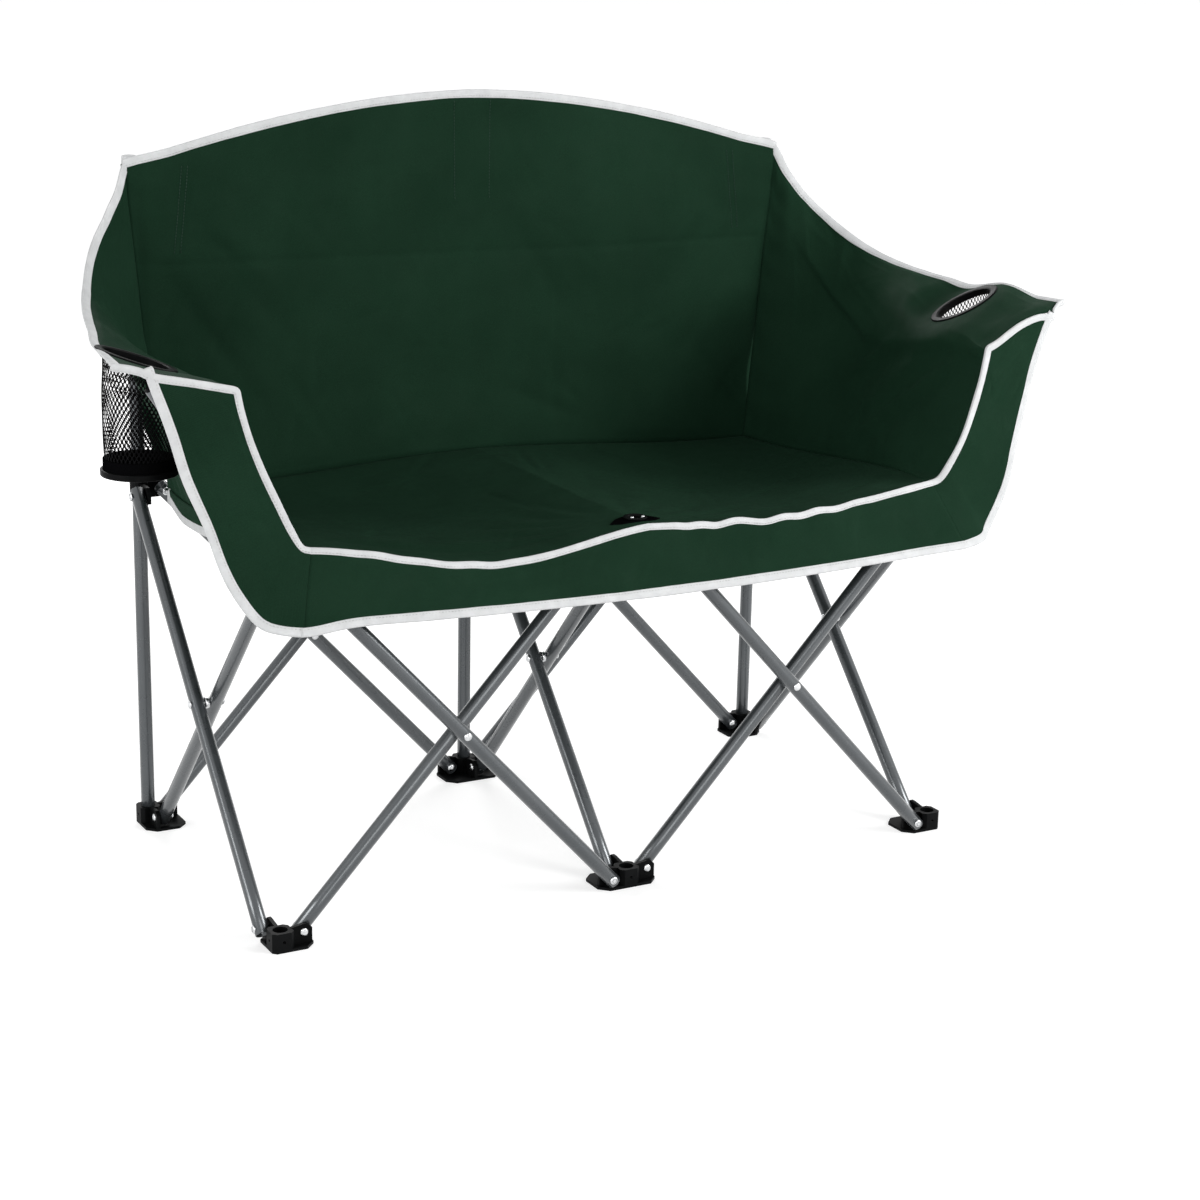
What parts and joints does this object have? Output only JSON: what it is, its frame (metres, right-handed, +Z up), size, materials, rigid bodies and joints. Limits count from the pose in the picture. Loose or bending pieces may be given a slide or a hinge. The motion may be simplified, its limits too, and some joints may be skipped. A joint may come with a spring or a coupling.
{
  "type": "folding camping loveseat",
  "caption": "Folding fabric loveseat on a scissor frame of steel tubes with plastic feet, a high rounded back, flared arms and a cup holder in each arm.",
  "frame": {"origin": "on the floor, under the middle of the object's box", "axes": "+X to the right as seen from the front, +Y to the back, +Z up"},
  "size_m": [1.3698, 0.5916, 1.012],
  "materials": {
    "grey_painted_steel": "semi-gloss mid-grey powder coat",
    "zinc_rivet": "bright zinc plate",
    "black_plastic": "satin moulded nylon",
    "green_polyester": "dark green woven polyester with off-white piping",
    "black_net": "open black net",
    "black_webbing": "black webbing patch"
  },
  "bodies": {
    "rear_middle_post": {"foot_rear_middle": "black_plastic", "back_post_middle": "grey_painted_steel", "post_cap_middle": "black_plastic", "back_panel": "green_polyester"},
    "side_middle_front_rising": {"side_middle_tube_rising_front": "grey_painted_steel", "side_middle_rivet": "zinc_rivet"},
    "side_middle_back_rising": {"side_middle_tube_rising_back": "grey_painted_steel"},
    "front_middle_foot": {"foot_front_middle": "black_plastic"},
    "front_middle_hub": {"hub_front_middle": "black_plastic", "front_band": "green_polyester", "seat_patch": "black_webbing"},
    "rear_middle_slider": {"hub_slider_middle": "black_plastic", "seat_panel": "green_polyester"},
    "front_left_outward": {"front_left_tube_fore": "grey_painted_steel", "front_left_rivet": "zinc_rivet"},
    "front_left_inward": {"front_left_tube_aft": "grey_painted_steel"},
    "front_left_foot": {"foot_front_left": "black_plastic"},
    "front_left_hub": {"hub_front_left": "black_plastic", "cup_ring_left": "black_plastic", "cup_sleeve_left": "black_net", "cup_base_left": "black_plastic"},
    "arm_left": {"arm_post_left": "grey_painted_steel", "arm_cap_left": "black_plastic", "arm_band_left": "green_polyester"},
    "front_right_outward": {"front_right_tube_aft": "grey_painted_steel", "front_right_rivet": "zinc_rivet"},
    "front_right_inward": {"front_right_tube_fore": "grey_painted_steel"},
    "front_right_foot": {"foot_front_right": "black_plastic"},
    "front_right_hub": {"hub_front_right": "black_plastic", "cup_ring_right": "black_plastic", "cup_sleeve_right": "black_net", "cup_base_right": "black_plastic"},
    "arm_right": {"arm_post_right": "grey_painted_steel", "arm_cap_right": "black_plastic", "arm_band_right": "green_polyester"},
    "rear_left_outward": {"rear_left_tube_fore": "grey_painted_steel", "rear_left_rivet": "zinc_rivet"},
    "rear_left_inward": {"rear_left_tube_aft": "grey_painted_steel"},
    "rear_left_post": {"foot_rear_left": "black_plastic", "back_post_left": "grey_painted_steel", "post_cap_left": "black_plastic", "side_panel_left": "green_polyester"},
    "rear_left_slider": {"hub_slider_left": "black_plastic"},
    "side_left_front_rising": {"side_left_tube_rising_front": "grey_painted_steel", "side_left_rivet": "zinc_rivet"},
    "side_left_back_rising": {"side_left_tube_rising_back": "grey_painted_steel"},
    "rear_right_outward": {"rear_right_tube_aft": "grey_painted_steel", "rear_right_rivet": "zinc_rivet"},
    "rear_right_inward": {"rear_right_tube_fore": "grey_painted_steel"},
    "rear_right_post": {"foot_rear_right": "black_plastic", "back_post_right": "grey_painted_steel", "post_cap_right": "black_plastic", "side_panel_right": "green_polyester"},
    "rear_right_slider": {"hub_slider_right": "black_plastic"},
    "side_right_front_rising": {"side_right_tube_rising_front": "grey_painted_steel", "side_right_rivet": "zinc_rivet"},
    "side_right_back_rising": {"side_right_tube_rising_back": "grey_painted_steel"}
  },
  "joints": [
    {"name": "fold", "type": "hinge", "parent": "rear_middle_post", "child": "side_middle_front_rising", "pos_m": [0, 0.2395, 0.018], "axis": [-1, 0, 0], "range_deg": [0, 38], "deforming": ["back_panel", "seat_panel", "side_panel_left", "side_panel_right", "front_band", "arm_band_left", "arm_band_right", "cup_sleeve_left", "cup_sleeve_right", "seat_patch"]},
    {"name": "side_middle_cross", "type": "hinge", "parent": "side_middle_front_rising", "child": "side_middle_back_rising", "pos_m": [0, 0.023, 0.25], "axis": [1, 0, 0], "range_deg": [0, 76]},
    {"name": "front_middle_foot_pin", "type": "hinge", "parent": "side_middle_back_rising", "child": "front_middle_foot", "pos_m": [0, -0.1935, 0.018], "axis": [-1, 0, 0], "range_deg": [0, 38]},
    {"name": "front_middle_hub_pin", "type": "hinge", "parent": "side_middle_front_rising", "child": "front_middle_hub", "pos_m": [0, -0.1935, 0.482], "axis": [1, 0, 0], "range_deg": [0, 38]},
    {"name": "rear_middle_slider_pin", "type": "hinge", "parent": "side_middle_back_rising", "child": "rear_middle_slider", "pos_m": [0, 0.2395, 0.482], "axis": [-1, 0, 0], "range_deg": [0, 38]},
    {"name": "front_left_outward_pin", "type": "hinge", "parent": "front_middle_foot", "child": "front_left_outward", "pos_m": [-0.031, -0.2265, 0.018], "axis": [0, 1, 0], "range_deg": [0, 38]},
    {"name": "front_left_cross", "type": "hinge", "parent": "front_left_outward", "child": "front_left_inward", "pos_m": [-0.2475, -0.2265, 0.25], "axis": [0, -1, 0], "range_deg": [0, 76]},
    {"name": "front_left_foot_pin", "type": "hinge", "parent": "front_left_inward", "child": "front_left_foot", "pos_m": [-0.464, -0.2265, 0.018], "axis": [0, 1, 0], "range_deg": [0, 38]},
    {"name": "front_left_hub_pin", "type": "hinge", "parent": "front_left_outward", "child": "front_left_hub", "pos_m": [-0.464, -0.2265, 0.482], "axis": [0, -1, 0], "range_deg": [0, 38]},
    {"name": "arm_left_lean", "type": "hinge", "parent": "front_left_hub", "child": "arm_left", "pos_m": [-0.495, -0.2265, 0.498], "axis": [0, 1, 0], "range_deg": [0, 33.4]},
    {"name": "front_right_outward_pin", "type": "hinge", "parent": "front_middle_foot", "child": "front_right_outward", "pos_m": [0.031, -0.2265, 0.018], "axis": [0, -1, 0], "range_deg": [0, 38]},
    {"name": "front_right_cross", "type": "hinge", "parent": "front_right_outward", "child": "front_right_inward", "pos_m": [0.2475, -0.2265, 0.25], "axis": [0, 1, 0], "range_deg": [0, 76]},
    {"name": "front_right_foot_pin", "type": "hinge", "parent": "front_right_inward", "child": "front_right_foot", "pos_m": [0.464, -0.2265, 0.018], "axis": [0, -1, 0], "range_deg": [0, 38]},
    {"name": "front_right_hub_pin", "type": "hinge", "parent": "front_right_outward", "child": "front_right_hub", "pos_m": [0.464, -0.2265, 0.482], "axis": [0, 1, 0], "range_deg": [0, 38]},
    {"name": "arm_right_lean", "type": "hinge", "parent": "front_right_hub", "child": "arm_right", "pos_m": [0.495, -0.2265, 0.498], "axis": [0, -1, 0], "range_deg": [0, 33.4]},
    {"name": "rear_left_outward_pin", "type": "hinge", "parent": "rear_middle_post", "child": "rear_left_outward", "pos_m": [-0.031, 0.2725, 0.018], "axis": [0, 1, 0], "range_deg": [0, 38]},
    {"name": "rear_left_cross", "type": "hinge", "parent": "rear_left_outward", "child": "rear_left_inward", "pos_m": [-0.2475, 0.2725, 0.25], "axis": [0, -1, 0], "range_deg": [0, 76]},
    {"name": "rear_left_foot_pin", "type": "hinge", "parent": "rear_left_inward", "child": "rear_left_post", "pos_m": [-0.464, 0.2725, 0.018], "axis": [0, 1, 0], "range_deg": [0, 38]},
    {"name": "rear_left_slider_pin", "type": "hinge", "parent": "rear_left_outward", "child": "rear_left_slider", "pos_m": [-0.464, 0.2725, 0.482], "axis": [0, -1, 0], "range_deg": [0, 38]},
    {"name": "side_left_foot_pin", "type": "hinge", "parent": "rear_left_post", "child": "side_left_front_rising", "pos_m": [-0.495, 0.2395, 0.018], "axis": [-1, 0, 0], "range_deg": [0, 38]},
    {"name": "side_left_cross", "type": "hinge", "parent": "side_left_front_rising", "child": "side_left_back_rising", "pos_m": [-0.495, 0.023, 0.25], "axis": [1, 0, 0], "range_deg": [0, 76]},
    {"name": "rear_right_outward_pin", "type": "hinge", "parent": "rear_middle_post", "child": "rear_right_outward", "pos_m": [0.031, 0.2725, 0.018], "axis": [0, -1, 0], "range_deg": [0, 38]},
    {"name": "rear_right_cross", "type": "hinge", "parent": "rear_right_outward", "child": "rear_right_inward", "pos_m": [0.2475, 0.2725, 0.25], "axis": [0, 1, 0], "range_deg": [0, 76]},
    {"name": "rear_right_foot_pin", "type": "hinge", "parent": "rear_right_inward", "child": "rear_right_post", "pos_m": [0.464, 0.2725, 0.018], "axis": [0, -1, 0], "range_deg": [0, 38]},
    {"name": "rear_right_slider_pin", "type": "hinge", "parent": "rear_right_outward", "child": "rear_right_slider", "pos_m": [0.464, 0.2725, 0.482], "axis": [0, 1, 0], "range_deg": [0, 38]},
    {"name": "side_right_foot_pin", "type": "hinge", "parent": "rear_right_post", "child": "side_right_front_rising", "pos_m": [0.495, 0.2395, 0.018], "axis": [-1, 0, 0], "range_deg": [0, 38]},
    {"name": "side_right_cross", "type": "hinge", "parent": "side_right_front_rising", "child": "side_right_back_rising", "pos_m": [0.495, 0.023, 0.25], "axis": [1, 0, 0], "range_deg": [0, 76]}
  ],
  "couplings": [
    {"joint": "side_middle_cross", "follows": "fold", "ratio": 2},
    {"joint": "front_middle_foot_pin", "follows": "fold", "ratio": 1},
    {"joint": "front_middle_hub_pin", "follows": "fold", "ratio": 1},
    {"joint": "rear_middle_slider_pin", "follows": "fold", "ratio": 1},
    {"joint": "front_left_outward_pin", "follows": "fold", "ratio": 1},
    {"joint": "front_left_cross", "follows": "fold", "ratio": 2},
    {"joint": "front_left_foot_pin", "follows": "fold", "ratio": 1},
    {"joint": "front_left_hub_pin", "follows": "fold", "ratio": 1},
    {"joint": "arm_left_lean", "follows": "fold", "ratio": 0.87},
    {"joint": "front_right_outward_pin", "follows": "fold", "ratio": 1},
    {"joint": "front_right_cross", "follows": "fold", "ratio": 2},
    {"joint": "front_right_foot_pin", "follows": "fold", "ratio": 1},
    {"joint": "front_right_hub_pin", "follows": "fold", "ratio": 1},
    {"joint": "arm_right_lean", "follows": "fold", "ratio": 0.87},
    {"joint": "rear_left_outward_pin", "follows": "fold", "ratio": 1},
    {"joint": "rear_left_cross", "follows": "fold", "ratio": 2},
    {"joint": "rear_left_foot_pin", "follows": "fold", "ratio": 1},
    {"joint": "rear_left_slider_pin", "follows": "fold", "ratio": 1},
    {"joint": "side_left_foot_pin", "follows": "fold", "ratio": 1},
    {"joint": "side_left_cross", "follows": "fold", "ratio": 2},
    {"joint": "rear_right_outward_pin", "follows": "fold", "ratio": 1},
    {"joint": "rear_right_cross", "follows": "fold", "ratio": 2},
    {"joint": "rear_right_foot_pin", "follows": "fold", "ratio": 1},
    {"joint": "rear_right_slider_pin", "follows": "fold", "ratio": 1},
    {"joint": "side_right_foot_pin", "follows": "fold", "ratio": 1},
    {"joint": "side_right_cross", "follows": "fold", "ratio": 2}
  ]
}
